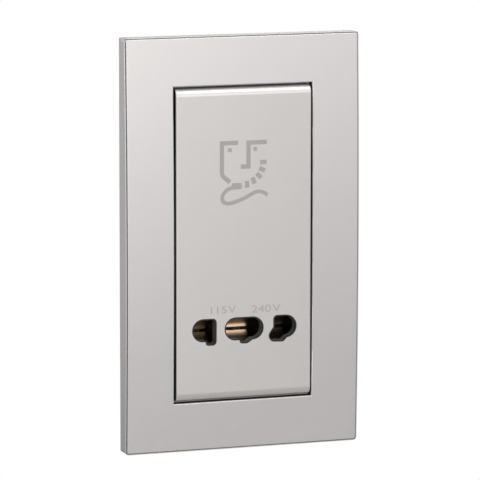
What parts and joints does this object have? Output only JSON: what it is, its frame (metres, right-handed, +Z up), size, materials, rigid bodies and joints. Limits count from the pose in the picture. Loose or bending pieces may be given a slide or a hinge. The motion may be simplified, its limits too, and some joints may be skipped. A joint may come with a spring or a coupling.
{
  "type": "shaver socket",
  "caption": "Upright wall plate shaver socket: silver crowned frame and flat panel, dual-voltage pin apertures with leaf contacts, and an isolating transformer in a case behind.",
  "frame": {"origin": "centre of the two wall-box fixing holes, on the wall plane at the back of the plate", "axes": "+Z up, -Y out of the wall towards the user, +X to the right as seen from the front"},
  "size_m": [0.086, 0.0467, 0.146],
  "materials": {
    "silver_frame": "satin metallic paint on moulded plastic",
    "silver_panel": "satin metallic paint on moulded plastic",
    "black_moulding": "matt moulded",
    "grey_moulding": "matt moulded",
    "case_moulding": "matt moulded",
    "plated_steel": "zinc plated",
    "core_steel": "varnished laminations",
    "contact_bronze": "rolled phosphor bronze",
    "copper_wire": "enamelled winding wire",
    "terminal_brass": "machined",
    "cutout_case": "moulded"
  },
  "bodies": {
    "unit": {"front_frame": "silver_frame", "centre_panel": "silver_panel", "pin_guide": "black_moulding", "mounting_grid": "plated_steel", "rear_housing": "case_moulding", "contact_carrier": "black_moulding", "left_contact": "contact_bronze", "centre_contact": "contact_bronze", "right_contact": "contact_bronze", "microswitch": "black_moulding", "transformer_core": "core_steel", "bobbin": "grey_moulding", "primary_winding": "copper_wire", "secondary_winding": "copper_wire", "core_clamp": "plated_steel", "clamp_screws": "plated_steel", "thermal_cutout": "cutout_case", "terminal_block": "grey_moulding", "live_terminal": "terminal_brass", "neutral_terminal": "terminal_brass", "earth_terminal": "terminal_brass", "terminal_screws": "plated_steel", "housing_screws": "plated_steel"},
    "plunger": {"switch_actuator": "black_moulding"}
  },
  "joints": [
    {"name": "plug_switch", "type": "slide", "parent": "unit", "child": "plunger", "axis": [0, 1, 0], "range_m": [0, 0.0016], "stiffness_N_per_m": 400, "springref_m": -0.001}
  ]
}
